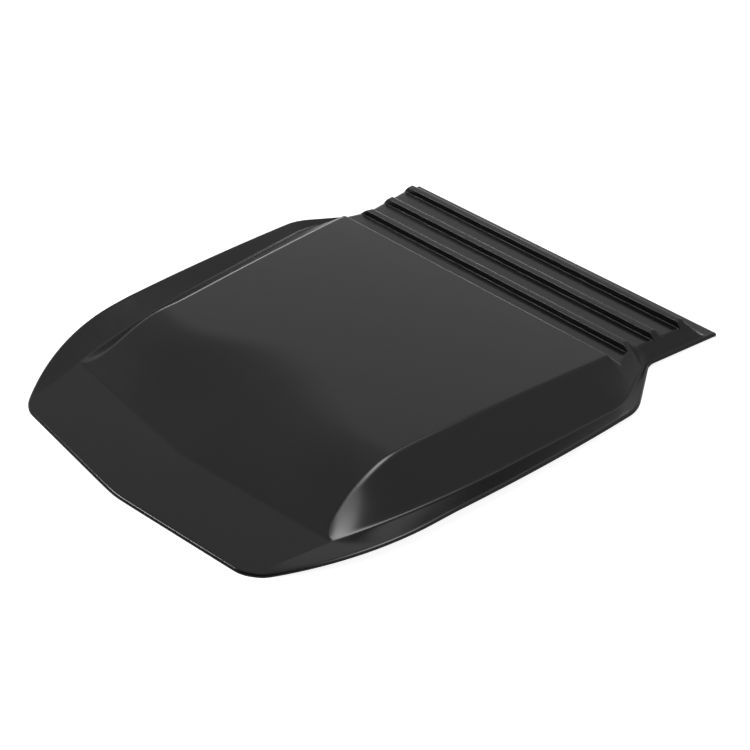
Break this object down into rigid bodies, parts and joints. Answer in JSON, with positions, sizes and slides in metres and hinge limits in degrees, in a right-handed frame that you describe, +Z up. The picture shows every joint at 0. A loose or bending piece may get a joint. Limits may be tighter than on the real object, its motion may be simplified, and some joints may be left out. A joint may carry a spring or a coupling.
{
  "type": "bonnet scoop",
  "caption": "Wide shallow bonnet scoop cover: a thin moulded shell with a swept nose, sloping side walls, a flat top and a stepped louvred tail.",
  "frame": {"origin": "middle of the part's footprint, on the plane that its nose lip and rear lip rest on", "axes": "+X across to the part's left side as the car drives forward along -Y, so -Y points to the nose and +Y to the louvred tail, +Z up"},
  "size_m": [0.791, 0.955, 0.064],
  "materials": {
    "scoop_shell": "satin black, lightly grained"
  },
  "bodies": {
    "root": {"scoop_shell": "scoop_shell"}
  },
  "joints": []
}
